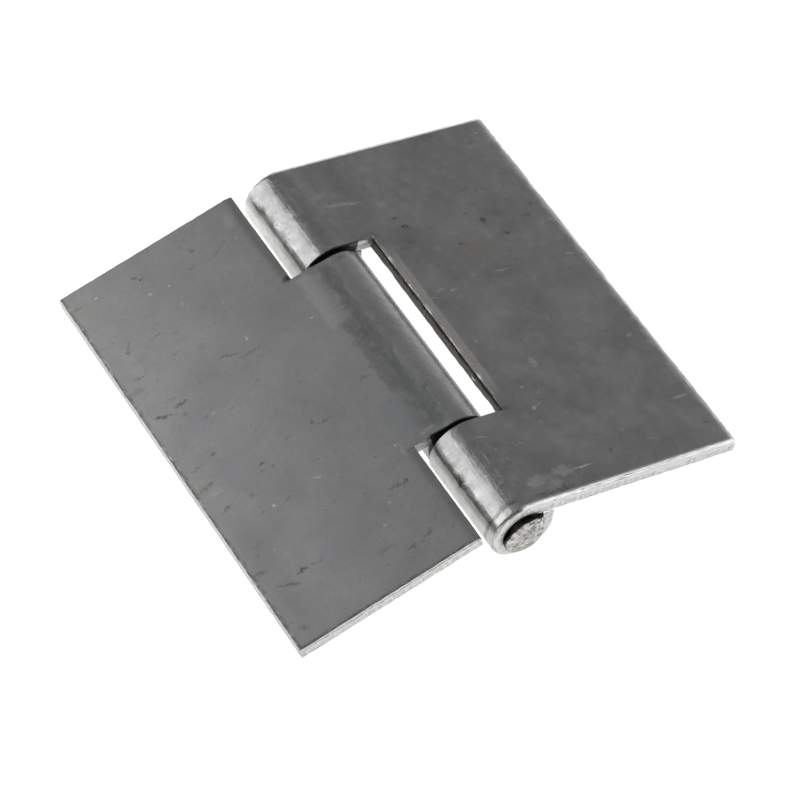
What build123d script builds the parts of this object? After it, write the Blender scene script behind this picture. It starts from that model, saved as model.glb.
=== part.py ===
from build123d import *
import os
from math import asin, atan, cos, degrees, hypot, radians, sin

# Plain steel butt hinge without screw holes: two leaves rolled from sheet, turning on a peened pin.
# It rests like a low roof, on its barrel and on the free edges of both leaves.
# Z is up, Y runs along the pin, and the origin is on the ground under the middle of the barrel.

# Leaves
leaf_width = 80.0
leaf_reach = 40.4
sheet_thickness = 2.4
middle_knuckle_length = 39.3
knuckle_gap = 0.8

# Pin
pin_diameter = 6.6
bore_clearance = 0.06
pin_overhang = 1.2
head_spread = 0.3
head_neck = 0.15
head_flare = 0.35
head_rim_radius = 0.3
head_dome = 0.12

# Curl of the knuckles: the sheet of the middle one is drawn thinner, so its barrel is a little smaller.
tip_lean = 8.0
seam_gap = 0.15
tip_corner_radius = 0.6
relief_clearance = 0.7
middle_curl_thinning = 0.36
middle_curl_blend = 5.0

# Sheared edges: most are drawn down by the blade, and the middle leaf's outer rim is only worn round.
rollover_width = 1.6
rollover_depth = 0.35
corner_radius = 0.5
end_edge_radius = 0.8
worn_edge_radius = 0.3
worn_end_radius = 0.2
knuckle_edge_break = 0.15
bore_edge_radius = 0.7

# The sheet wraps the bore once, so a leaf's upper face is flush with the top of the outer knuckles.
pin_radius = pin_diameter / 2
bore_radius = pin_radius + bore_clearance
barrel_radius = bore_radius + sheet_thickness
edge_height = barrel_radius - rollover_depth
slot_length = middle_knuckle_length + 2 * knuckle_gap
outer_knuckle_length = (leaf_width - slot_length) / 2

# The curl ends in a straight stretch that leans in and stops just under its own leaf.
tip_top = bore_radius - seam_gap
lean_cos = cos(radians(tip_lean))
lean_sin = sin(radians(tip_lean))
tip_inner_start = (bore_radius * lean_cos, bore_radius * lean_sin)
tip_outer_end = ((barrel_radius - tip_top * lean_sin) / lean_cos, tip_top)
tip_inner_end = ((bore_radius - tip_top * lean_sin) / lean_cos, tip_top)

# The slot and the notches clear the circle that the other leaf's curl tip sweeps.
relief_reach = hypot(*tip_outer_end) + relief_clearance

# Each leaf slopes down until its free edge meets the ground that the barrel lies on.
leaf_slope = degrees(asin(barrel_radius / hypot(leaf_reach, bore_radius)) + atan(bore_radius / leaf_reach))
slope_cos = cos(radians(leaf_slope))
slope_sin = sin(radians(leaf_slope))
pin_centre = (0, 0, barrel_radius)
pin_axis = Axis(pin_centre, (0, 1, 0))

# Sections lie square to the pin: local X runs out along the leaf and local Y points to its upper side.
outer_leaf_plane = Plane(origin=pin_centre, x_dir=(slope_cos, 0, -slope_sin), z_dir=(0, -1, 0))
middle_leaf_plane = Plane(origin=pin_centre, x_dir=(-slope_cos, 0, -slope_sin), z_dir=(0, 1, 0))
# Profiles turned about the pin: local X is the distance from its axis and local Y runs along it.
turning_plane = Plane(origin=pin_centre, x_dir=(1, 0, 0), z_dir=(0, 0, 1))


def rim(builder, y, radius):
    """The barrel's outer edge at y, where a knuckle's end face begins."""
    arcs = builder.edges().filter_by(GeomType.CIRCLE).filter_by(lambda edge: abs(edge.center().Y - y) < 0.01)
    return arcs.filter_by(lambda edge: abs(edge.radius - radius) < 0.01)


def free_corners(builder, plane):
    """The two short edges through the sheet at the ends of a leaf's free edge."""
    upright = builder.edges().filter_by(Axis(pin_centre, plane.y_dir))
    return upright.sort_by(Axis(pin_centre, plane.x_dir))[-2:]


def upper_edge(end_face):
    """The long edge of a leaf's end face where it meets the upper side."""
    return end_face.edges().filter_by(GeomType.LINE).sort_by(SortBy.LENGTH)[-2:].sort_by(Axis.Z)[-1]


def flat_section(edge_width, edge_depth):
    """Section clear of the knuckles: flat sheet, drawn down along the slot or the notch and at its free edge."""
    with BuildSketch() as section:
        with BuildLine():
            top = Line((leaf_reach - edge_width, barrel_radius), (relief_reach + rollover_width, barrel_radius))
            sides = Polyline(
                (relief_reach, edge_height),
                (relief_reach, bore_radius),
                (leaf_reach, bore_radius),
                (leaf_reach, barrel_radius - edge_depth),
            )
            TangentArc(top @ 1, sides @ 0, tangent=(-1, 0))
            TangentArc(top @ 0, sides @ 1, tangent=(1, 0))
        make_face()
    return section.sketch


def knuckle_section(thinning, blend):
    """Section through a knuckle: the leaf, and its curl over the pin, under it and up again to the seam."""
    curl_radius = barrel_radius - thinning
    outer_start = (curl_radius * lean_cos, curl_radius * lean_sin)
    outer_end = ((curl_radius - tip_top * lean_sin) / lean_cos, tip_top)
    with BuildSketch() as section:
        with BuildLine():
            top = Line((leaf_reach - rollover_width, barrel_radius), (blend, barrel_radius))
            if thinning > 0:
                Bezier((blend, barrel_radius), (blend / 2, barrel_radius), (blend / 2, curl_radius), (0, curl_radius))
            CenterArc((0, 0), curl_radius, 90, 270 + tip_lean)
            Polyline(outer_start, outer_end, tip_inner_end, tip_inner_start)
            CenterArc((0, 0), bore_radius, 90, 270 + tip_lean)
            underside = Polyline((0, bore_radius), (leaf_reach, bore_radius), (leaf_reach, edge_height))
            TangentArc(top @ 0, underside @ 1, tangent=(1, 0))
        make_face()
        fillet(section.vertices().sort_by_distance(outer_end)[0], tip_corner_radius)
    return section.sketch


# Leaf with the two outer knuckles, and the slot between them
with BuildPart() as outer_knuckle_leaf:
    with BuildSketch(outer_leaf_plane.offset(slot_length / 2)):
        add(knuckle_section(0, 0))
    extrude(amount=outer_knuckle_length)
    chamfer(rim(outer_knuckle_leaf, -slot_length / 2, barrel_radius), knuckle_edge_break)
    fillet(rim(outer_knuckle_leaf, -leaf_width / 2, barrel_radius), end_edge_radius)
    # The mouth of the bore is worn round where the pin's head was peened over it.
    with BuildSketch(turning_plane):
        with BuildLine():
            mouth = Polyline(
                (bore_radius, bore_edge_radius - leaf_width / 2),
                (0, bore_edge_radius - leaf_width / 2),
                (0, -leaf_width / 2),
                (bore_radius + bore_edge_radius, -leaf_width / 2),
            )
            TangentArc(mouth @ 0, mouth @ 1, tangent=(0, -1))
        make_face()
    revolve(axis=pin_axis, mode=Mode.SUBTRACT)
    mirror(about=Plane.XZ)
    with BuildSketch(outer_leaf_plane):
        add(flat_section(rollover_width, rollover_depth))
    extrude(amount=slot_length / 2 + knuckle_edge_break, both=True)
    fillet(free_corners(outer_knuckle_leaf, outer_leaf_plane), corner_radius)
outer_knuckle_leaf.part.label = "outer_knuckle_leaf"

# Leaf with the one long middle knuckle, and a notch at each end of it
with BuildPart() as middle_knuckle_leaf:
    with BuildSketch(middle_leaf_plane):
        add(knuckle_section(middle_curl_thinning, middle_curl_blend))
    extrude(amount=middle_knuckle_length / 2, both=True)
    middle_radius = barrel_radius - middle_curl_thinning
    chamfer(rim(middle_knuckle_leaf, -middle_knuckle_length / 2, middle_radius), knuckle_edge_break)
    chamfer(rim(middle_knuckle_leaf, middle_knuckle_length / 2, middle_radius), knuckle_edge_break)
    with BuildSketch(middle_leaf_plane):
        add(flat_section(worn_edge_radius, worn_edge_radius))
    extrude(amount=leaf_width / 2, both=True)
    fillet(upper_edge(middle_knuckle_leaf.faces().sort_by(Axis.Y)[0]), worn_end_radius)
    fillet(upper_edge(middle_knuckle_leaf.faces().sort_by(Axis.Y)[-1]), worn_end_radius)
middle_knuckle_leaf.part.label = "middle_knuckle_leaf"

# Pin, peened over at both ends
with BuildPart() as hinge_pin:
    neck_start = leaf_width / 2 + head_neck
    face_height = leaf_width / 2 + pin_overhang
    head_radius = pin_radius + head_spread
    with BuildSketch(turning_plane) as pin_profile:
        with BuildLine():
            shank = Polyline(
                (0, face_height),
                (0, 0),
                (pin_radius, 0),
                (pin_radius, neck_start),
                (head_radius, neck_start + head_flare),
                (head_radius, face_height - head_dome),
            )
            TangentArc(shank @ 0, shank @ 1, tangent=(1, 0))
        make_face()
        fillet(pin_profile.vertices().sort_by_distance((head_radius, face_height))[0], head_rim_radius)
    revolve(axis=pin_axis)
    mirror(about=Plane.XZ)
hinge_pin.part.label = "hinge_pin"

os.makedirs("parts", exist_ok=True)
export_step(outer_knuckle_leaf.part, "parts/outer_knuckle_leaf.step")
export_step(middle_knuckle_leaf.part, "parts/middle_knuckle_leaf.step")
export_step(hinge_pin.part, "parts/hinge_pin.step")
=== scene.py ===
"""Bare-steel butt hinge with undrilled leaves, resting like a low roof on a white table."""
from math import cos, hypot, pi, radians, sin

import bmesh
import bpy
from mathutils import Matrix, Vector, noise


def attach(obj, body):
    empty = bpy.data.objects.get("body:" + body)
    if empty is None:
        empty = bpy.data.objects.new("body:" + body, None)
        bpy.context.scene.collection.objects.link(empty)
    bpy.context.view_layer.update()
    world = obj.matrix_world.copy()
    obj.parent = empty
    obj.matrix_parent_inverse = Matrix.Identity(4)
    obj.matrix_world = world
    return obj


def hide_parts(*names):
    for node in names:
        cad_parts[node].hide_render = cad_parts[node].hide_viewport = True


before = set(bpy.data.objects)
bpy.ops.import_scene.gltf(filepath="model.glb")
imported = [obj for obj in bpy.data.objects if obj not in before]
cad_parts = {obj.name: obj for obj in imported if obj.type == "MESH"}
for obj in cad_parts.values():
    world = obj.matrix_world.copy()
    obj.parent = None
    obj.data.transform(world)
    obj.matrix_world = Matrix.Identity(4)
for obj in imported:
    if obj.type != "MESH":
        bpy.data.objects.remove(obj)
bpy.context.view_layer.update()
scene = bpy.context.scene
scene.view_settings.view_transform = "Standard"

# Where the camera stands: it looks down across the hinge from the front left.
camera_azimuth = 31.707
camera_elevation = 52.777
camera_roll = 1.381
camera_distance = 0.6351
camera_target = Vector((-0.00058, -0.00298, -0.00216))
focal_length = 175.09

# The hinge's own sizes in millimetres, for placing patterns and wear on its surfaces.
leaf_slope = radians(12.92)
leaf_reach = 40.4
half_width = 40.0
barrel_radius = 5.76
slot_depth = 6.952
slot_half_length = 20.45
middle_knuckle_half_length = 19.65
pin_radius = 3.3
pin_tip = 41.19

# How the sheared edges wear: how far in from an edge, the depths of the nicks and of the grit with how fine
# they are, and how strongly on each leaf.
nick_reach = 0.9
nicks = ((0.16, 0.7), (0.18, 1.8))
grit = (0.06, 4.0)
outer_leaf_wear = 1.0
middle_leaf_wear = 0.45
# The bore and the sheet round it, up to this distance from the pin's axis, stay smooth.
smooth_radius = 4.3


def grey(level):
    """A linear grey as a colour."""
    return (level, level, level, 1.0)


class Nodes:
    """Adds nodes to a tree. An input may be a number, a colour, a vector or another node's output."""

    def __init__(self, material):
        material.use_nodes = True
        self.tree = material.node_tree
        self.tree.nodes.clear()

    def put(self, socket, value):
        if isinstance(value, bpy.types.NodeSocket):
            self.tree.links.new(value, socket)
        elif value is not None:
            socket.default_value = value

    def add(self, kind, *values, **settings):
        node = self.tree.nodes.new("ShaderNode" + kind)
        for name, setting in settings.items():
            setattr(node, name, setting)
        for socket, value in zip(node.inputs, values):
            self.put(socket, value)
        return node

    def math(self, operation, *values, clamp=False):
        return self.add("Math", *values, operation=operation, use_clamp=clamp).outputs[0]

    def vector(self, operation, *values):
        node = self.add("VectorMath", *values, operation=operation)
        return node.outputs["Value" if operation in ("LENGTH", "DISTANCE") else "Vector"]

    def noise(self, vector, scale, detail, roughness, output="Fac"):
        node = self.add("TexNoise")
        inputs = {"Vector": vector, "Scale": scale, "Detail": detail, "Roughness": roughness}
        for name, value in inputs.items():
            self.put(node.inputs[name], value)
        return node.outputs[output]

    def span(self, value, low, high, bottom=0.0, top=1.0):
        """Maps value from low..high to bottom..top with a smooth, clamped step."""
        node = self.add("MapRange", value, low, high, bottom, top, interpolation_type="SMOOTHSTEP")
        return node.outputs[0]

    def times(self, *factors):
        """Product of several masks."""
        product = factors[0]
        for factor in factors[1:]:
            product = self.math("MULTIPLY", product, factor)
        return product

    def vary(self, value, pattern, amount):
        """Moves value up and down by a noise pattern, by half of amount each way."""
        return self.math("MULTIPLY_ADD", self.math("SUBTRACT", pattern, 0.5), amount, value)

    def rest_of(self, mask):
        """What a mask leaves free."""
        return self.math("SUBTRACT", 1.0, mask)

    def blend(self, factor, first, second):
        node = self.add("Mix", data_type="RGBA")
        self.put(node.inputs[0], factor)
        self.put(node.inputs[6], first)
        self.put(node.inputs[7], second)
        return node.outputs[2]


def unroll(n, place, side):
    """Lays the sheet flat. Gives the coordinates there, the distance along the sheet from the pin's axis, the
    place along the pin, and the depth below the sheet's upper or outer skin."""
    x, y, z = n.add("SeparateXYZ", place).outputs
    out = n.math("MULTIPLY", x, side)
    turn = n.math("ARCTAN2", n.math("MULTIPLY", out, -1.0), z)
    turn = n.math("MULTIPLY_ADD", n.math("LESS_THAN", turn, -pi / 2), 2 * pi, turn)
    curled = n.math("GREATER_THAN", turn, 0.0)
    flat = n.rest_of(curled)
    curl = n.math("MULTIPLY", turn, curled)
    along = n.math("MULTIPLY_ADD", curl, -barrel_radius, n.math("MULTIPLY", out, flat))
    reach = n.add("CombineXYZ", x, 0.0, z).outputs[0]
    depth = n.math("MULTIPLY_ADD", n.vector("LENGTH", reach), curled, n.math("MULTIPLY", z, flat))
    depth = n.math("SUBTRACT", depth, barrel_radius)
    return n.add("CombineXYZ", n.math("MULTIPLY", along, side), y, depth).outputs[0], along, y, depth


def coordinates(n, side):
    """A point's place in millimetres from the pin's axis, and its normal, both turned to the frame of a leaf:
    X out along it and Z square to it."""
    source = n.add("TexCoord").outputs
    centred = n.vector("MULTIPLY_ADD", source["Object"], (1000,) * 3, (0, 0, -barrel_radius))
    turned = []
    for vector in (centred, source["Normal"]):
        node = n.add("VectorRotate", vector, rotation_type="Y_AXIS")
        node.inputs["Angle"].default_value = -side * leaf_slope
        turned.append(node.outputs[0])
    return turned


def shaken(n, flat, shake, reach):
    """Coordinates on the flattened sheet, shaken by up to half of reach each way, for ragged outlines."""
    centred = n.vector("ADD", flat, (-reach / 2, -reach / 2, 0.0))
    return n.vector("MULTIPLY_ADD", shake, (reach, reach, 0.0), centred)


class Sheet:
    """One leaf as its finish sees it: where a point lies on the sheet, which way it faces, and the noises
    there. The side is 1 for the leaf towards +X and -1 for the other."""

    def __init__(self, nodes, side):
        n = self.nodes = nodes
        self.side = side
        self.place, normal = coordinates(n, side)
        self.flat, self.along, self.y, self.depth = unroll(n, self.place, side)
        nx, ny, self.nz = n.add("SeparateXYZ", normal).outputs
        self.off_middle = n.math("ABSOLUTE", self.y)
        self.end_turn = n.math("ABSOLUTE", ny)
        shake = n.noise(self.flat, 1.2, 4.0, 0.7, "Color")
        self.ragged = shaken(n, self.flat, shake, 2.2)
        self.steady = shaken(n, self.flat, shake, 0.6)
        self.grain = n.noise(self.flat, 2.6, 4, 0.75)
        self.fine = n.noise(self.flat, 5.0, 3, 0.8)
        self.mottle = n.noise(self.ragged, 0.45, 4, 0.65)
        self.clouds = n.noise(self.flat, 0.09, 5, 0.6)
        self.torn = n.noise(n.vector("MULTIPLY", self.place, (1.6, 1.6, 0.8)), 1.0, 5, 0.75)
        self.broken = n.span(self.grain, 0.42, 0.57, 0.2, 0.8)
        self.outer_skin = n.span(self.depth, -0.5, -0.1)
        self.end_face = n.span(self.end_turn, 0.8, 0.97)
        steep = n.span(n.math("ABSOLUTE", nx), 0.85, 0.98)
        self.side_face = n.math("MULTIPLY", steep, n.math("GREATER_THAN", self.along, 6.0))
        self.cut = n.math("MAXIMUM", self.end_face, self.side_face)

    def waver(self):
        """Grain and mottle together, about zero, for lines that don't run straight."""
        return self.nodes.math("SUBTRACT", self.nodes.math("ADD", self.grain, self.mottle), 1.0)


def marks(n, place, spots):
    """Adds up soft oval marks on the flattened sheet. Turns are rounded to ten degrees and the ratios of the
    sides to powers of two, so that marks can share one stretched grid."""
    total = 0.0
    stretched = {}
    for x, y, length, width, turn, strength in spots:
        if width > length:
            length, width, turn = width, length, turn + 90
        ratio = min((1, 2, 4, 8), key=lambda step: abs(length / width - step))
        turn = radians(10 * round(turn / 10))
        if (ratio, turn) not in stretched:
            grid = n.add("Mapping", place, (0, 0, 0), (0, 0, turn), (ratio, 1, 1), vector_type="TEXTURE")
            stretched[ratio, turn] = grid.outputs[0]
        centre = Matrix.Rotation(-turn, 3, "Z") @ Vector((x, y, 0))
        centre.x /= ratio
        size = (length / ratio + width) / 4
        away = n.vector("DISTANCE", stretched[ratio, turn], centre)
        total = n.math("MULTIPLY_ADD", n.span(away, 0.35 * size, 1.15 * size, 1.0, 0.0), strength, total)
    return total


def mill_surface(sheet, look):
    """The sheet's own grey: soft clouds, small patches, fine grain, and dark and bright marks and flecks."""
    n = sheet.nodes
    shade = n.math("MULTIPLY_ADD", sheet.clouds, look["clouds"], look["tone"] - look["clouds"] / 2)
    shade = n.vary(shade, sheet.grain, look["grain"])
    shade = n.vary(shade, sheet.fine, look["fine"])
    patchy = n.math("MULTIPLY_ADD", n.span(sheet.along, 5.5, 3.0), look["barrel_patches"], 0.14)
    shade = n.vary(shade, sheet.mottle, patchy)
    if look["wide_patches"]:
        shade = n.vary(shade, n.noise(sheet.ragged, 0.2, 3, 0.6), look["wide_patches"])
    flecks = n.noise(n.vector("MULTIPLY", sheet.ragged, (0.6, 1.5, 1.0)), 1.0, 4, 0.65)
    dark = n.math("MULTIPLY", marks(n, sheet.ragged, look["dark"]), sheet.broken)
    dark = n.math("MULTIPLY_ADD", n.span(flecks, 0.38, 0.27), 0.42, dark)
    light = n.math("MULTIPLY", marks(n, sheet.steady, look["light"]),
                   n.span(sheet.grain, 0.40, 0.52, 0.35, 1.0))
    light = n.math("MULTIPLY_ADD", n.span(flecks, 0.66, 0.76), 0.34, light)
    shade = n.math("MULTIPLY", shade, n.math("SUBTRACT", 1.0, dark, clamp=True))
    shade = n.math("MULTIPLY_ADD", light, 0.38, shade)
    return n.add("CombineColor", shade, shade, shade).outputs[0]


def stains(sheet, colour, look):
    """Torn-edged patches, each group with its colour and strength, and small specks of rust."""
    n = sheet.nodes
    torn_border = n.vary(-0.1, sheet.mottle, 3.2)
    for (red, green, blue), strength, spots in look["tints"]:
        patch = n.span(n.math("ADD", marks(n, sheet.ragged, spots), torn_border), 0.1, 1.1, 0.0, strength)
        patch = n.math("MULTIPLY", patch, n.span(sheet.grain, 0.35, 0.6, 0.6, 1.1))
        colour = n.blend(patch, colour, (red, green, blue, 1))
    if look["rust"]:
        specks = n.math("MULTIPLY", marks(n, sheet.ragged, look["rust"]), sheet.broken)
        colour = n.blend(specks, colour, (0.16, 0.09, 0.06, 1))
    return colour


def sheared_faces(sheet, colour):
    """Sheared faces are bright and torn: smooth under the upper edge, rough towards the lower one."""
    n = sheet.nodes
    shade = n.vary(0.72, sheet.torn, n.span(sheet.depth, -0.8, -1.4, 0.35, 1.3))
    shade = n.math("MULTIPLY", shade, n.span(sheet.grain, 0.25, 0.38, 0.55, 1.0))
    if sheet.side < 0:
        # A thin dark line runs under the upper edge, and the free edge is greyer towards the underside.
        line_depth = n.math("MULTIPLY_ADD", sheet.waver(), 1.3, sheet.depth)
        line = n.times(n.span(line_depth, -0.35, -0.5), n.span(line_depth, -0.85, -0.65),
                       n.span(sheet.torn, 0.35, 0.55, 0.2, 0.6))
        shade = n.math("MULTIPLY", shade, n.rest_of(line))
        greyer = n.math("MULTIPLY", n.span(sheet.depth, -0.7, -1.5, 0.1, 0.42), sheet.side_face)
        shade = n.math("MULTIPLY", shade, n.rest_of(greyer))
    bare = n.add("CombineColor", shade, shade, n.math("MULTIPLY", shade, 0.975)).outputs[0]
    return n.blend(sheet.cut, colour, bare)


def facing_ends(sheet, colour):
    """The ends of the knuckles that face each other are painted black: painted shade in the gaps between the
    knuckles, with grime.
    """
    n = sheet.nodes
    # Painted shade with grime on the knuckles' facing ends.
    gap_shade_and_grime = n.times(n.span(sheet.end_turn, 0.3, 0.6), n.math("LESS_THAN", sheet.off_middle, 22.0),
                        n.math("LESS_THAN", sheet.along, 4.0))
    return n.blend(gap_shade_and_grime, colour, n.blend(sheet.grain, grey(0.06), grey(0.15)))


def barrel_band(sheet, colour):
    """Below its bright band the outer barrel is painted cream, a painted warm reflection of the table; a
    dirty line and scuffs follow the band's borders.
    """
    n = sheet.nodes
    # Painted reflection: the barrel's lower side takes the table's warm light as its colour.
    cream_reflection = n.times(n.span(sheet.along, -8.2, -9.6), sheet.outer_skin,
                    n.span(sheet.mottle, 0.35, 0.6, 0.45, 0.75))
    colour = n.blend(cream_reflection, colour, (0.82, 0.81, 0.76, 1))
    border = n.vary(sheet.along, sheet.mottle, 4.0)
    lower = n.times(n.span(border, -6.9, -6.1), n.span(border, -4.9, -5.6))
    upper = n.times(n.span(border, -3.4, -2.8), n.span(border, -1.6, -2.2))
    borders = n.math("MAXIMUM", lower, n.math("MULTIPLY", upper, 0.85))
    borders = n.times(borders, sheet.outer_skin, n.span(sheet.clouds, 0.40, 0.60, 0.25, 1.0))
    scuffs = n.noise(sheet.ragged, 2.1, 4, 0.8)
    line = n.times(n.span(sheet.along, -5.8, -6.3), n.span(sheet.along, -8.0, -7.2), sheet.outer_skin)
    for place, pattern, tint in (
        (line, n.span(sheet.mottle, 0.50, 0.62, 0.0, 0.6), (0.66, 0.64, 0.60, 1)),
        (line, n.span(sheet.mottle, 0.48, 0.38, 0.0, 0.6), (0.22, 0.20, 0.17, 1)),
        (borders, n.span(scuffs, 0.50, 0.40, 0.0, 0.65), (0.10, 0.10, 0.095, 1)),
        (borders, n.span(scuffs, 0.55, 0.64, 0.0, 0.7), (0.92, 0.92, 0.91, 1)),
    ):
        colour = n.blend(n.math("MULTIPLY", place, pattern), colour, tint)
    return colour


def slot_edge(sheet, colour):
    """The slot's wall is nearly black at its top and grey brown below. The sheet beside it is rubbed."""
    n = sheet.nodes
    wall = n.math("MULTIPLY", sheet.side_face, n.math("LESS_THAN", sheet.along, 8.0))
    dirt = n.span(n.vary(sheet.depth, sheet.torn, 1.6), -0.8, -1.5)
    colour = n.blend(wall, colour, n.blend(dirt, (0.05, 0.048, 0.045, 1), (0.38, 0.36, 0.32, 1)))
    on_edge = n.span(n.math("ABSOLUTE", n.math("SUBTRACT", sheet.along, 6.95)), 0.25, 0.12)
    burr = n.times(on_edge, n.span(sheet.y, 4.0, 9.0), n.math("LESS_THAN", sheet.y, 21.0),
                   n.span(sheet.grain, 0.47, 0.56, 0.0, 0.8), n.span(sheet.depth, -0.5, -0.36))
    colour = n.blend(burr, colour, (0.9, 0.9, 0.88, 1))
    rubbed = n.times(n.span(sheet.along, 8.9, 8.3), n.span(sheet.along, 6.0, 6.8, 0.0, 0.9),
                     n.span(sheet.off_middle, 20.0, 12.0), n.span(sheet.nz, 0.3, 0.6),
                     n.span(sheet.grain, 0.3, 0.6, 0.5, 1.0))
    return n.blend(rubbed, colour, (0.82, 0.80, 0.78, 1))


def rim_highlights(sheet, colour):
    """The outer leaf's rounded rims: painted white highlights along its two ends, and a lighter painted
    highlight along the free edge.
    """
    n = sheet.nodes
    end_place = n.vary(sheet.off_middle, sheet.grain, 0.8)
    # Painted highlight on the rounded rims at the barrel's two ends.
    ends = n.times(n.span(end_place, 38.95, 39.3), n.rest_of(sheet.end_face), n.span(sheet.along, -2.6, -0.8))
    colour = n.blend(ends, colour, grey(0.97))
    # Painted highlight along the rounded free edge.
    edge_place = n.vary(n.vary(sheet.along, sheet.grain, 0.5), sheet.mottle, 3.5)
    free_edge = n.span(edge_place, 38.3, 39.7, 0.0, 0.55)
    return n.blend(n.times(free_edge, n.rest_of(sheet.cut)), colour, grey(0.80))


def near_barrel_end(sheet, colour):
    """A thin dark line, painted shade in a groove, rings the barrel's near end where its rim was pressed; the
    lip beside it is painted lighter as a lit bulge. The bore's mouth is painted black as shade.
    """
    n = sheet.nodes
    near = n.math("MULTIPLY", n.math("LESS_THAN", sheet.y, 0.0), n.span(sheet.along, -1.0, -2.6))
    rim_place = n.vary(sheet.y, sheet.mottle, 1.6)
    smudge = n.times(near, n.span(rim_place, -37.1, -37.7), n.span(rim_place, -38.3, -37.9),
                     n.span(sheet.grain, 0.35, 0.6, 0.2, 0.7))
    colour = n.blend(smudge, colour, (0.16, 0.16, 0.155, 1))
    # Painted light on the lip's bulge, with scuffs.
    lip_light = n.times(near, n.span(rim_place, -38.0, -38.4), n.span(sheet.end_turn, 0.62, 0.54),
                  n.span(sheet.fine, 0.36, 0.5, 0.35, 0.9))
    colour = n.blend(lip_light, colour, (0.60, 0.60, 0.59, 1))
    # Painted shade: a black line stands for the groove.
    groove_shade = n.times(near, n.span(sheet.end_turn, 0.42, 0.50), n.span(sheet.end_turn, 0.62, 0.54),
                     n.span(sheet.grain, 0.35, 0.6, 0.3, 0.85))
    colour = n.blend(groove_shade, colour, grey(0.06))
    # Painted shade: the bore's mouth goes black at its upper left.
    px, py, pz = n.add("SeparateXYZ", sheet.place).outputs
    upper_left = n.span(n.math("SUBTRACT", pz, px), 0.6, 2.6)
    mouth_shade = n.times(n.span(sheet.depth, -1.4, -2.3, 0.0, 0.9), n.span(sheet.end_turn, 0.15, 0.35), upper_left)
    return n.blend(mouth_shade, colour, (0.06, 0.06, 0.055, 1))


def knuckle_strips(sheet, colour):
    """Ragged strips along the middle knuckle: rubbed ones, and a dark stain, bluish at the near end."""
    n = sheet.nodes
    sway = n.math("MULTIPLY", n.math("SUBTRACT", sheet.mottle, 0.5), 3.6)
    swayed = n.math("ADD", sheet.along, sway)
    upto = n.math("ADD", sheet.y, n.math("MULTIPLY", sway, 1.5))
    worn = n.span(sheet.grain, 0.38, 0.56, 0.55, 1.0)

    def strip(middle, half, soft, low, high):
        """One strip: its middle and half width on the sheet, its soft sides, and its ends along the pin."""
        across = n.math("ABSOLUTE", n.math("SUBTRACT", swayed, middle))
        return n.times(n.span(across, half + soft, half - soft), n.span(upto, low - 1.0, low + 1.0),
                       n.span(upto, high + 1.0, high - 1.0))

    stain = n.blend(n.span(sheet.y, 4.0, -5.0), grey(0.29), (0.25, 0.30, 0.305, 1))
    dots = n.span(n.noise(sheet.ragged, 2.2, 3, 0.8), 0.52, 0.62)
    for place, pattern, tint in (
        (strip(4.6, 2.0, 0.5, 7.0, 18.5), n.math("MULTIPLY", worn, 0.8), (0.64, 0.64, 0.63, 1)),
        (strip(3.3, 1.5, 0.4, -9.0, 7.5), n.math("MULTIPLY", worn, 0.6), (0.30, 0.30, 0.295, 1)),
        (strip(1.2, 1.0, 0.55, -18.5, 18.5), 0.62, stain),
        (strip(2.9, 1.4, 0.4, -7.0, 7.0), n.math("MULTIPLY", dots, 0.5), (0.70, 0.70, 0.68, 1)),
        (strip(-3.6, 1.8, 1.3, -19.0, 19.0), n.math("MULTIPLY", worn, 0.45), (0.72, 0.72, 0.71, 1)),
    ):
        colour = n.blend(n.math("MULTIPLY", place, pattern), colour, tint)
    return colour


def edge_lines(sheet, colour):
    """A ragged dark line runs just inside the middle leaf's free edge and its near end."""
    n = sheet.nodes
    uneven = sheet.waver()
    upward = n.span(sheet.nz, 0.9, 0.98)
    free_edge = n.times(n.span(n.math("ADD", sheet.along, uneven), 39.3, 39.9), upward,
                        n.span(sheet.torn, 0.36, 0.6, 0.15, 0.7))
    near_end = n.times(n.span(n.math("SUBTRACT", uneven, sheet.y), 39.35, 39.8), upward,
                       n.span(sheet.torn, 0.40, 0.6, 0.1, 0.8))
    return n.blend(n.math("MAXIMUM", free_edge, near_end), colour, grey(0.12))


def sheet_height(sheet, lower):
    """Height in millimetres: waves on the barrel, a fine grain, torn sheared faces, and fallen outer rims."""
    n = sheet.nodes
    height = n.math("MULTIPLY", n.noise(sheet.flat, 0.24, 3, 0.55), n.span(sheet.along, 4.0, 0.0, 0.0, 0.22))
    if sheet.side > 0:
        fall = n.math("MULTIPLY", n.span(sheet.off_middle, 39.05, 39.9, 0.0, 0.42),
                      n.span(sheet.along, -2.6, -0.8))
        height = n.math("SUBTRACT", height, fall)
    height = n.math("MULTIPLY_ADD", sheet.grain, 0.014, height)
    torn = n.math("MULTIPLY", sheet.torn, sheet.cut)
    return n.math("MULTIPLY_ADD", torn, n.math("MULTIPLY_ADD", lower, 0.14, 0.03), height)


def finish_metal(n, colour, rough, height):
    """Joins colour, roughness and a height in millimetres to a metal shader."""
    bump = n.add("Bump")
    bump.inputs["Distance"].default_value = 0.001
    n.put(bump.inputs["Height"], height)
    shader = n.add("BsdfPrincipled")
    shader.inputs["Metallic"].default_value = 1.0
    n.put(shader.inputs["Base Color"], colour)
    n.put(shader.inputs["Roughness"], rough)
    n.put(shader.inputs["Normal"], bump.outputs[0])
    n.add("OutputMaterial", shader.outputs[0])


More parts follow.
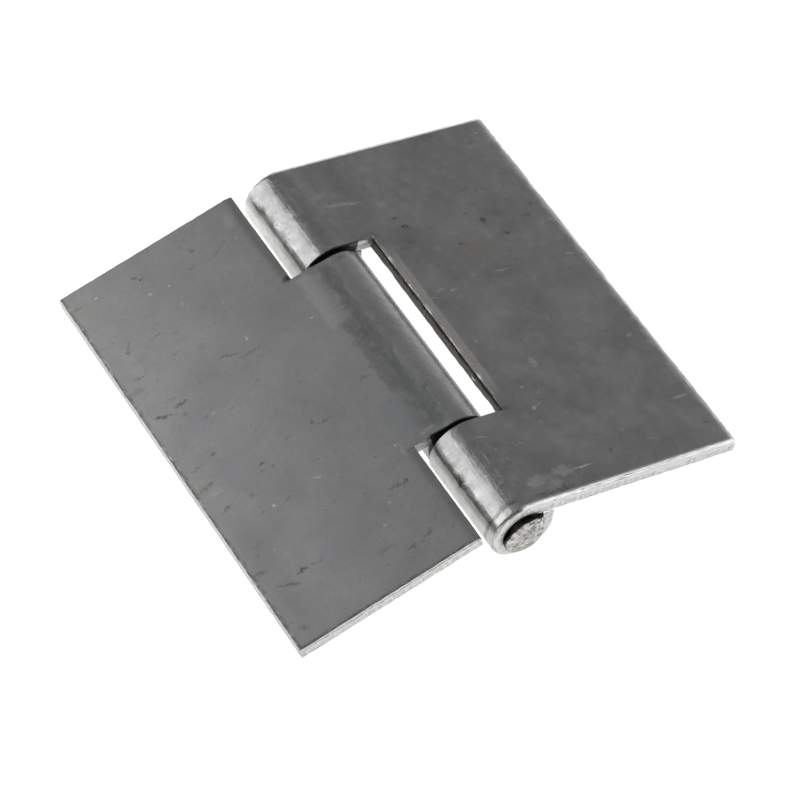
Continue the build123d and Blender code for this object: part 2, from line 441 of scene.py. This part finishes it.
def steel(name, side, look, layers):
    """Bare rolled sheet for the leaf on one side: the finish that both leaves have, then its own layers."""
    material = bpy.data.materials.new(name)
    sheet = Sheet(Nodes(material), side)
    n = sheet.nodes
    colour = stains(sheet, mill_surface(sheet, look), look)
    for layer in (sheared_faces, facing_ends, *layers):
        colour = layer(sheet, colour)
    lower = n.span(sheet.depth, -0.9, -1.3)
    rough = n.math("MULTIPLY_ADD", sheet.grain, 0.16, 0.26)
    rough = n.math("MULTIPLY_ADD", sheet.cut, n.math("MULTIPLY_ADD", lower, 0.18, 0.08), rough)
    finish_metal(n, colour, rough, sheet_height(sheet, lower))
    return material


def peened_steel(name):
    """The pin's ends, beaten over cold: rough, warm grey, with dirt in the dents; their sides are painted
    dark as the shade of the gap round the pin in the bore, partly dark scale.
    """
    material = bpy.data.materials.new(name)
    n = Nodes(material)
    place, normal = coordinates(n, 1)
    px, py, pz = n.add("SeparateXYZ", place).outputs
    coarse = n.noise(place, 0.7, 3, 0.6)
    rougher = n.span(n.math("SUBTRACT", pz, px), -4.5, 1.5, 0.35, 1.0)
    fine = n.math("MULTIPLY_ADD", n.math("SUBTRACT", n.noise(place, 1.7, 3, 0.7), 0.5), rougher, 0.5)
    dirt = n.noise(n.vector("ADD", place, (7.3, 0.0, 2.1)), 1.7, 3, 0.7)
    shade = n.vary(n.vary(0.52, coarse, 1.0), fine, 1.5)
    shade = n.math("MULTIPLY", shade, n.span(dirt, 0.34, 0.47, 0.35, 1.0))
    # Painted shade, partly dark scale: the sides of the heads and the shank go much darker than the faces.
    end_turn = n.math("ABSOLUTE", n.add("SeparateXYZ", normal).outputs[1])
    shade = n.math("MULTIPLY", shade, n.span(end_turn, 0.35, 0.75, 0.12, 1.0))
    warm = n.add("CombineColor", shade, n.math("MULTIPLY", shade, 0.985), n.math("MULTIPLY", shade, 0.94))
    rough = n.math("MULTIPLY_ADD", fine, 0.2, 0.34)
    height = n.math("MULTIPLY_ADD", coarse, 0.25, n.math("MULTIPLY", fine, 0.16))
    finish_metal(n, warm.outputs[0], rough, height)
    return material


# Marks on the sheet as seen in the photo: how far from the pin's axis and how far along the pin, length and
# width, all in millimetres, turn in degrees, and strength. A tint has a colour and a greatest strength too.
outer_dark = [
    (12.6, 22.8, 1.0, 0.8, 0, 0.7), (13.4, 20.8, 1.3, 0.8, 0, 0.5), (24.8, 20.0, 1.6, 0.5, 0, 0.5),
    (27.0, 17.7, 1.6, 1.1, 0, 0.6), (20.3, 14.0, 1.6, 0.8, -10, 0.5), (37.0, 18.5, 1.5, 0.8, 0, 0.5),
    (35.3, 16.3, 1.0, 0.6, 0, 0.4), (28.3, 25.3, 2.6, 0.8, 20, 0.35), (35.4, 34.8, 2.0, 0.8, 20, 0.4),
    (11.6, 30.8, 1.4, 0.9, 0, 0.25), (-3.6, -26.4, 0.9, 0.35, 60, 1.0),
    (-2.8, -26.4, 1.0, 0.35, 40, 1.0), (-1.6, -25.4, 1.6, 0.3, 80, 0.7),
    (-7.2, -28.6, 4.4, 1.6, 90, 1.3), (-3.4, 29.3, 0.9, 0.9, 0, 0.6), (1.8, -30.6, 0.5, 0.5, 0, 0.7),
    (-4.6, 29.0, 0.8, 4.0, 0, 0.3), (5.0, -38.6, 12.0, 1.0, 0, 0.4), (18.3, -8.3, 1.4, 0.8, 0, 0.35),
    (14.2, -20.9, 2.4, 0.7, -30, 0.4), (33.0, 31.0, 1.6, 0.7, 0, 0.3), (-9.3, -28.5, 1.6, 2.4, 0, 0.5),
    (-8.6, -33.0, 0.8, 5.0, 0, 0.35),
]
outer_light = [
    (5.8, 28.9, 11.0, 0.7, -7, 0.5), (3.5, 31.9, 3.6, 1.2, 8, 0.25), (12.3, 26.6, 2.4, 2.0, -40, 0.3),
    (-1.6, 32.5, 0.9, 8.0, 0, 0.2), (11.3, 6.0, 3.0, 0.5, 0, 0.45), (13.2, 5.3, 2.2, 0.5, 0, 0.7),
    (23.5, 6.5, 3.6, 0.45, 0, 0.8), (37.0, 6.0, 2.4, 0.6, -10, 0.45), (9.2, 4.8, 1.8, 0.5, -10, 0.45),
    (13.6, 3.5, 2.5, 1.0, 0, 0.22), (10.6, -6.1, 1.1, 0.8, 30, 0.45), (17.2, -13.3, 1.2, 3.2, 0, 0.6),
    (12.4, -17.4, 0.7, 0.7, 0, 1.0), (14.4, -19.3, 0.8, 0.5, 40, 0.5), (12.0, -21.9, 1.4, 0.8, 20, 0.7),
    (13.1, -21.5, 0.7, 0.5, 0, 0.9), (36.2, -13.7, 1.7, 0.8, 20, 0.5), (36.5, -28.4, 4.2, 0.45, 0, 0.9),
    (12.6, -35.6, 5.2, 0.4, 0, 1.3), (0.0, -24.4, 3.6, 0.35, -20, 0.7),
    (-1.5, -28.3, 3.2, 0.35, 90, 0.9), (-1.4, -31.8, 4.0, 0.35, 90, 0.5),
    (1.65, -29.84, 0.5, 0.4, 0, 1.2), (11.85, -22.1, 1.2, 0.4, 60, 0.9),
    (26.6, -34.5, 1.8, 0.6, -20, 0.35), (23.1, -31.2, 1.4, 0.6, -20, 0.35),
    (11.2, -25.0, 1.0, 0.7, 0, 0.3), (37.3, 36.5, 1.4, 0.5, -20, 0.5), (5.5, -27.7, 0.7, 0.5, 0, 0.6),
    (1.0, -27.5, 0.6, 0.5, 0, 0.5),
]
outer_rust = [
    (29.4, 13.9, 2.4, 0.8, -10, 0.9), (13.4, 20.8, 1.4, 0.9, 0, 0.5), (27.0, 17.7, 1.5, 1.1, 0, 0.4),
    (20.4, 14.0, 1.5, 0.9, 0, 0.35), (7.2, 20.9, 1.6, 1.2, 0, 0.6), (7.2, -20.3, 1.8, 1.4, 0, 0.6),
    (4.0, -38.4, 9.0, 1.4, 0, 0.3),
]
outer_tints = [
    ((0.47, 0.45, 0.4), 0.5, [(23.0, 13.0, 9.0, 8.0, 0, 1), (3.0, -24.5, 5.0, 6.0, 0, 1),
                              (14.0, -22.0, 5.0, 5.0, 0, 1), (12.0, -10.0, 5.0, 5.0, 0, 1)]),
    ((0.5, 0.52, 0.57), 0.5, [(30.0, -1.5, 8.0, 5.0, 0, 1), (28.0, 12.0, 3.0, 3.0, 0, 1)]),
    ((0.74, 0.74, 0.73), 0.7, [(3.4, -35.8, 5.0, 3.2, 0, 1.1), (8.6, -35.2, 5.2, 3.2, 0, 1.2),
                               (5.8, -37.2, 5.0, 1.8, 0, 1.0)]),
]
middle_dark = [
    (-28.1, 35.7, 1.0, 0.9, 0, 0.9), (-27.2, 34.9, 0.8, 0.7, 0, 0.9), (-17.7, 34.5, 1.4, 0.7, 0, 0.6),
    (-17.8, 37.4, 1.6, 0.5, 0, 0.4), (-14.2, 31.8, 3.4, 0.6, 30, 0.4), (-12.7, 32.7, 1.3, 0.8, 0, 0.4),
    (-38.3, 36.4, 3.4, 0.6, 0, 0.7), (-35.8, 23.8, 1.2, 1.0, 0, 0.9), (-35.2, 24.9, 2.0, 0.6, 50, 0.5),
    (-30.6, 23.7, 3.6, 0.5, 0, 0.5), (-29.0, 25.8, 1.2, 0.5, 0, 0.4), (-25.3, 17.3, 2.4, 1.8, 0, 0.25),
    (-36.7, 18.5, 2.6, 0.5, 0, 0.5), (-29.5, 18.8, 2.2, 0.5, 0, 0.4), (-38.2, 16.4, 3.0, 1.8, 0, 0.35),
    (-22.8, 13.2, 4.4, 0.55, -20, 0.5), (-19.3, 11.5, 5.6, 0.6, 0, 0.4),
    (-37.0, 9.7, 4.6, 0.55, -20, 0.9), (-33.5, 10.1, 3.4, 0.8, 0, 0.7), (-34.3, 11.8, 2.0, 0.5, 0, 0.5),
    (-34.0, 8.0, 1.4, 1.0, 0, 0.4), (-27.2, 4.3, 1.6, 0.7, 0, 0.35), (-15.7, 1.8, 1.2, 0.6, 0, 0.4),
    (-34.0, -1.4, 1.4, 0.6, 0, 0.8), (-37.6, -2.0, 3.0, 0.6, 0, 0.4), (-37.9, -6.0, 3.4, 1.0, 10, 0.7),
    (-28.5, -7.6, 1.4, 0.6, 0, 0.8), (-27.2, -9.1, 0.8, 0.7, 0, 0.6), (-22.5, -6.2, 1.6, 0.5, 0, 0.4),
    (-17.9, -5.6, 2.0, 0.6, 90, 0.6), (-16.2, -6.9, 3.6, 0.6, -10, 0.5), (-6.8, -4.0, 4.0, 0.5, 0, 0.35),
    (-37.2, -11.4, 2.6, 0.7, 10, 0.5), (-32.5, -11.6, 1.4, 0.7, 40, 0.35),
    (-32.4, -15.2, 0.8, 0.7, 0, 0.7), (-28.0, -15.5, 1.6, 0.7, 0, 0.3),
    (-36.3, -20.0, 2.4, 0.7, 0, 0.35), (-22.7, -20.6, 1.6, 0.6, 0, 0.3),
    (-38.6, -24.6, 3.4, 0.8, -10, 0.7), (-12.8, -24.2, 4.0, 0.55, 0, 0.6),
    (-11.0, -24.2, 0.8, 0.7, 0, 0.5), (-32.9, -28.0, 2.6, 0.9, 0, 0.9), (-30.0, -28.2, 3.4, 0.5, 0, 0.6),
    (-36.0, -28.9, 5.8, 0.55, -30, 0.9), (-16.8, -35.0, 2.8, 0.6, 0, 0.5),
    (-13.2, -34.4, 2.8, 0.6, 20, 0.5), (-20.0, -32.9, 2.6, 0.8, 0, 0.3),
    (-21.3, -35.5, 1.6, 0.6, 0, 0.3), (-37.6, -36.8, 2.2, 1.0, -40, 0.5),
    # The last mark here darkens the far corner of the notch under the barrel's end: painted shade, with dirt.
    (-11.0, -32.6, 1.4, 1.0, 0, 0.3), (-8.2, 31.0, 1.2, 16.0, 0, 0.12), (-7.3, 19.9, 2.6, 1.5, 20, 1.2),
]
middle_light = [
    (-27.4, 31.5, 0.8, 0.7, 0, 0.9), (-24.0, 30.9, 0.6, 0.5, 0, 0.7), (-18.7, 14.2, 1.5, 0.5, 80, 0.9),
    (-8.0, 11.0, 0.7, 0.6, 0, 0.6), (-9.7, 36.0, 4.4, 1.8, 80, 0.2), (-10.4, 32.2, 1.2, 0.7, 90, 0.4),
    (-30.6, -15.3, 0.8, 0.6, 0, 1.2), (-22.4, -15.2, 1.6, 0.5, -30, 0.6),
    (-9.3, -17.8, 0.7, 0.6, 0, 0.9), (-18.1, -29.1, 0.7, 0.6, 30, 0.7), (-36.8, -7.6, 3.4, 2.0, 0, 0.18),
    (-35.1, 36.4, 0.8, 0.6, 0, 0.8), (-24.0, 26.5, 0.7, 0.5, 0, 0.5), (-18.3, 22.5, 0.7, 0.5, 0, 0.5),
    (-30.0, 5.3, 1.0, 0.6, 0, 0.4), (-3.8, -18.4, 4.4, 0.9, 10, 0.35), (-8.8, -19.0, 4.0, 0.7, 80, 0.3),
    (-15.4, -26.0, 0.7, 0.5, 0, 0.5), (-34.5, -22.3, 0.7, 0.6, 0, 0.5),
]
middle_tints = [
    ((0.37, 0.43, 0.46), 0.45, [(-6.0, -13.5, 12.0, 7.0, -80, 1)]),
    # The second patch of this tint darkens the far corner of the notch under the barrel's end: painted shade,
    # with dirt.
    ((0.24, 0.24, 0.18), 0.6, [(2.4, 18.5, 3.4, 1.2, 0, 1), (-7.9, 20.0, 2.0, 1.4, 0, 1.2)]),
    ((0.38, 0.38, 0.38), 0.5, [(-37.0, -24.0, 26.0, 8.0, 90, 1), (-8.5, 31.0, 16.0, 1.6, 90, 1)]),
    ((0.44, 0.45, 0.53), 0.4, [(-33.0, -6.0, 8.0, 8.0, 0, 1), (-34.0, 5.0, 7.0, 7.0, 0, 1),
                               (-28.0, -28.5, 7.0, 6.0, 0, 1), (-36.5, -35.5, 4.0, 4.0, 0, 1),
                               (-28.5, 10.5, 4.0, 5.0, 0, 1)]),
    ((0.5, 0.48, 0.41), 0.4, [(-38.0, 36.0, 5.0, 6.0, 0, 1), (-38.0, -6.5, 4.0, 3.0, 0, 1)]),
    ((0.6, 0.6, 0.58), 0.35, [(-9.6, 35.8, 5.0, 2.4, 80, 1), (-36.5, 22.0, 9.0, 3.0, 90, 1)]),
]


# The pin's heads seen end on: the rim's distance from the axis, at even steps round from +X towards +Z.
near_rim = (3.15, 3.3, 3.6, 3.35, 3.15, 3.45, 3.95, 3.95, 3.85, 3.75, 3.6, 3.3)
far_rim = (3.5, 3.6, 3.45, 3.55, 3.6, 3.5, 3.6, 3.45, 3.55, 3.6, 3.5, 3.55)
head_dome = 0.10
head_fall = 0.30
# The depths of the heads' dents with how fine they are, and the crease that the hammer left round a face.
dents = ((0.12, 0.6), (0.16, 1.4), (0.07, 3.0))
crease_depth = 0.10
crease_inset = 0.62
crease_half_width = 0.14
# Where the rings of points lie along the pin: the heads' feet, their necks and the shank.
head_foot = 40.5
shank_rings = (40.15, 39.0, 24.0, 20.6, 19.5)
# How many points a ring has, and how many rings a head's face and its rim have.
ring_points = 144
face_rings = 22
rim_rings = 6


def rim_at(outline, turn):
    """The rim's distance from the axis at a turn in radians, eased between the outline's values."""
    step = turn / (2 * pi) * len(outline)
    share = step - int(step)
    share = share * share * (3 - 2 * share)
    first, second = (outline[(int(step) + k) % len(outline)] for k in (0, 1))
    return first + (second - first) * share


def head_point(outline, end, turn, reach):
    """A point of a beaten head: reach is 0 at its middle, 1 where the face ends and 2 at the rim's foot."""
    ripple = 0.012 * noise.noise(Vector((cos(turn) * 4, end * 3, sin(turn) * 4)))
    radius = rim_at(outline, turn) * (1 + ripple)
    if reach <= 1:
        out = (radius - head_fall) * reach
        height = pin_tip - head_dome * reach ** 2
    else:
        bend = (reach - 1) * pi / 2
        out = radius - head_fall + head_fall * sin(bend)
        height = pin_tip - head_dome - head_fall * (1 - cos(bend))
    x, z = out * cos(turn), out * sin(turn)
    spot = Vector((x, end * 5.0, z))
    beaten = sum(depth * abs(noise.noise(spot * fineness)) for depth, fineness in dents)
    across = max(0.0, 1 - abs(out - radius + crease_inset) / crease_half_width)
    crease = across * max(0.0, sin(turn - 0.5)) * crease_depth
    return Vector((x, end * (height - beaten - crease), z))


def ring_turns():
    """The turns of a ring's points, in radians."""
    return [2 * pi * step / ring_points for step in range(ring_points)]


def round_ring(radius_at, y):
    """A ring of points about the pin's axis at y."""
    return [Vector((radius_at(turn) * cos(turn), y, radius_at(turn) * sin(turn))) for turn in ring_turns()]


def pin_end_rings(end, outline):
    """One end of the pin as rings of points, from its face to the shank."""
    reaches = [k / face_rings for k in range(1, face_rings + 1)]
    reaches += [1 + k / rim_rings for k in range(1, rim_rings + 1)]
    rings = [[head_point(outline, end, turn, reach) for turn in ring_turns()] for reach in reaches]
    rings.append(round_ring(lambda turn: rim_at(outline, turn), end * head_foot))
    return rings + [round_ring(lambda turn: pin_radius, end * height) for height in shank_rings]


def make_pin():
    """The pin with its two heads, beaten over by hand: uneven rims, flats and dents."""
    rings = pin_end_rings(-1, near_rim) + pin_end_rings(1, far_rim)[::-1]
    points = [point for ring in rings for point in ring]
    faces = []
    last_ring = len(points) - ring_points
    for start in range(0, last_ring, ring_points):
        for step in range(ring_points):
            a, b = start + step, start + (step + 1) % ring_points
            faces.append((a + ring_points, b + ring_points, b, a))
    for end, outline, start in ((-1, near_rim, 0), (1, far_rim, last_ring)):
        middle = len(points)
        points.append(head_point(outline, end, 0.0, 0.0))
        for step in range(ring_points):
            a, b = start + step, start + (step + 1) % ring_points
            faces.append((a, b, middle) if end < 0 else (b, a, middle))
    lift = Vector((0, 0, barrel_radius))
    mesh = bpy.data.meshes.new("beaten_pin")
    mesh.from_pydata([(point + lift) / 1000 for point in points], [], faces)
    mesh.update()
    mesh.shade_smooth()
    mesh.materials.append(peened_steel("pin_steel"))
    pin = bpy.data.objects.new("beaten_pin", mesh)
    scene.collection.objects.link(pin)
    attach(pin, "outer_leaf")
    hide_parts("hinge_pin")


def rim_nearness(spot, slot_end, side):
    """How near a point in millimetres lies to a sheared edge: 1 on the edge and 0 from nick_reach away."""
    if hypot(spot.x, spot.z) < smooth_radius:
        return 0.0
    along, y = spot.x * side, abs(spot.y)
    away = min(half_width - y, leaf_reach - along)
    open_side = y - slot_end if side < 0 else slot_end - y
    if along > 3.0 and open_side > -nick_reach:
        # Here the slot's or the notch's wall may be nearest, or the end of the knuckle beside it.
        beside_knuckle = hypot(max(0.0, along - slot_depth), open_side) + 0.45 * max(0.0, 5.0 - along)
        away = min(away, abs(along - slot_depth) if open_side > 0 else beside_knuckle)
    return max(0.0, 1.0 - away / nick_reach)


def nick_depth(spot):
    """How deep the wear goes at a point in millimetres, on its edge."""
    deep = sum(depth * max(0.0, noise.noise(spot * fineness)) for depth, fineness in nicks)
    return deep + grit[0] * abs(noise.noise(spot * grit[1]))


def split_along_rims(shape, turn, centre, slot_end, side, nearness):
    """Cuts the leaf's large faces beside its edges, and splits what lies near them into small triangles."""
    along_pin = (38.2, 38.7, 39.0, 39.4, 39.7, slot_end + 0.95 * side, slot_end + 1.5 * side)
    outwards = (0.4, 6.0, 7.9, 8.4, 8.9, 38.4, 38.8, 39.4, 40.0)
    cuts = [(Vector((0, way, 0)), distance) for distance in along_pin for way in (1, -1)]
    cuts += [(Vector((side, 0, 0)), distance) for distance in outwards]
    for axis, distance in cuts:
        axis = turn.inverted() @ axis
        bmesh.ops.bisect_plane(shape, geom=shape.verts[:] + shape.edges[:] + shape.faces[:], dist=1e-8,
                               plane_no=axis, plane_co=centre + axis * distance / 1000)
    for limit in (8.0, 4.0, 2.0, 1.0, 0.5):
        long_edges = [edge for edge in shape.edges if edge.calc_length() * 1000 > limit
                      and nearness((edge.verts[0].co + edge.verts[1].co) / 2) > 0]
        bmesh.ops.subdivide_edges(shape, edges=long_edges, cuts=1)
        triangulate(shape)
    bmesh.ops.dissolve_degenerate(shape, dist=1e-6, edges=shape.edges[:])
    triangulate(shape)


def triangulate(shape):
    """Splits every face with more than three corners."""
    bmesh.ops.triangulate(shape, faces=[face for face in shape.faces if len(face.verts) > 3])


def worn_shape(name, node, side, slot_end, wear):
    """A leaf's CAD shape, split finely along its sheared edges and worn inwards there by small nicks."""
    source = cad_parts[node].data
    points = [vertex.co for vertex in source.vertices]
    faces = [list(face.vertices) for face in source.polygons]
    mesh = bpy.data.meshes.new(name)
    mesh.from_pydata(points, [], faces)
    shape = bmesh.new()
    shape.from_mesh(mesh)
    bmesh.ops.remove_doubles(shape, verts=shape.verts, dist=1e-7)
    turn = Matrix.Rotation(-side * leaf_slope, 3, "Y")
    centre = Vector((0, 0, barrel_radius / 1000))

    def nearness(point):
        return rim_nearness(turn @ (point - centre) * 1000, slot_end, side)

    split_along_rims(shape, turn, centre, slot_end, side, nearness)
    shape.normal_update()
    for vertex in shape.verts:
        near = nearness(vertex.co)
        if near > 0:
            vertex.co -= vertex.normal * (near * wear * nick_depth(vertex.co * 1000) / 1000)
    shape.to_mesh(mesh)
    shape.free()
    mesh.shade_smooth()
    mesh.set_sharp_from_angle(angle=radians(28))
    return mesh


def make_leaf(name, node, body, mesh, material):
    """The worn leaf in place of a CAD node. Its large faces decide the normals, so that they shade flat."""
    leaf = bpy.data.objects.new(name, mesh)
    scene.collection.objects.link(leaf)
    even = leaf.modifiers.new("even_normals", "WEIGHTED_NORMAL")
    even.mode = "FACE_AREA_WITH_ANGLE"
    even.keep_sharp = True
    bpy.context.view_layer.update()
    leaf.data = bpy.data.meshes.new_from_object(leaf.evaluated_get(bpy.context.evaluated_depsgraph_get()))
    leaf.modifiers.clear()
    leaf.data.materials.clear()
    leaf.data.materials.append(material)
    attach(leaf, body)
    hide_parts(node)


def make_camera():
    data = bpy.data.cameras.new("camera")
    data.lens = focal_length
    data.clip_end = 50.0
    camera = bpy.data.objects.new("camera", data)
    turn = Matrix.Rotation(-radians(camera_azimuth), 4, "Z")
    tilt = Matrix.Rotation(radians(90 - camera_elevation), 4, "X")
    roll = Matrix.Rotation(radians(camera_roll), 4, "Z")
    back = Matrix.Translation((0, 0, camera_distance))
    camera.matrix_world = Matrix.Translation(camera_target) @ turn @ tilt @ roll @ back
    scene.collection.objects.link(camera)
    scene.camera = camera


def make_floor():
    """A wide white table that looks white by itself and still takes the hinge's shadow."""
    reach = 8.0
    corners = [(-reach, -reach, 0), (reach, -reach, 0), (reach, reach, 0), (-reach, reach, 0)]
    mesh = bpy.data.meshes.new("table")
    mesh.from_pydata(corners, [], [(0, 1, 2, 3)])
    table = bpy.data.objects.new("table", mesh)
    scene.collection.objects.link(table)
    material = bpy.data.materials.new("white_table")
    n = Nodes(material)
    path = n.add("LightPath").outputs
    # In a reflection the table is dimmer under the hinge, where little light gets to.
    open_sky = n.add("AmbientOcclusion", samples=4)
    open_sky.inputs["Distance"].default_value = 0.03
    mirrored = n.math("MULTIPLY", path["Is Glossy Ray"], n.span(open_sky.outputs["AO"], 0.0, 0.8, 0.72, 1.0))
    seen = n.math("MAXIMUM", n.math("MAXIMUM", path["Is Camera Ray"], mirrored), path["Is Transmission Ray"])
    glow = n.add("Emission", grey(1), n.math("MULTIPLY", seen, 0.85))
    paper = n.add("BsdfDiffuse", grey(0.8))
    n.add("OutputMaterial", n.add("AddShader", glow.outputs[0], paper.outputs[0]).outputs[0])
    mesh.materials.append(material)


def make_softbox(name, direction, distance, width, height, power):
    """A rectangular lamp that faces the hinge from the given direction."""
    data = bpy.data.lights.new(name, "AREA")
    data.shape = "RECTANGLE"
    data.size = width
    data.size_y = height
    data.energy = power
    lamp = bpy.data.objects.new(name, data)
    towards = Vector(direction).normalized()
    turn = towards.to_track_quat("Z", "Y").to_matrix().to_4x4()
    lamp.matrix_world = Matrix.Translation(towards * distance) @ turn
    scene.collection.objects.link(lamp)


def make_world():
    """Plain soft light from all round, weaker from above."""
    world = bpy.data.worlds.new("room")
    scene.world = world
    n = Nodes(world)
    up = n.add("SeparateXYZ", n.add("TexCoord").outputs["Generated"]).outputs[2]
    n.add("OutputWorld", n.add("Background", grey(1), n.span(up, 0.0, 0.6, 0.5, 0.22)).outputs[0])


outer_look = {
    "tone": 0.46, "clouds": 0.36, "grain": 0.11, "fine": 0.07, "barrel_patches": 0.10, "wide_patches": 0.2,
    "dark": outer_dark, "light": outer_light, "rust": outer_rust, "tints": outer_tints,
}
middle_look = {
    "tone": 0.5, "clouds": 0.26, "grain": 0.21, "fine": 0.13, "barrel_patches": 0.22, "wide_patches": 0.0,
    "dark": middle_dark, "light": middle_light, "rust": [], "tints": middle_tints,
}
outer_layers = (barrel_band, slot_edge, rim_highlights, near_barrel_end)
outer_steel = steel("outer_leaf_steel", 1, outer_look, outer_layers)
middle_steel = steel("middle_leaf_steel", -1, middle_look, (knuckle_strips, edge_lines))
outer_shape = worn_shape("worn_outer_leaf", "outer_knuckle_leaf", 1, slot_half_length, outer_leaf_wear)
make_leaf(
    "worn_outer_leaf", "outer_knuckle_leaf", "outer_leaf", outer_shape, outer_steel)
middle_shape = worn_shape(
    "worn_middle_leaf", "middle_knuckle_leaf", -1, middle_knuckle_half_length, middle_leaf_wear)
make_leaf(
    "worn_middle_leaf", "middle_knuckle_leaf", "middle_leaf", middle_shape, middle_steel)
make_pin()
make_camera()
make_floor()
make_world()
make_softbox("left_wall", (-0.7185, 0.516, 0.466), 0.42, 0.385, 0.45, 0.74)
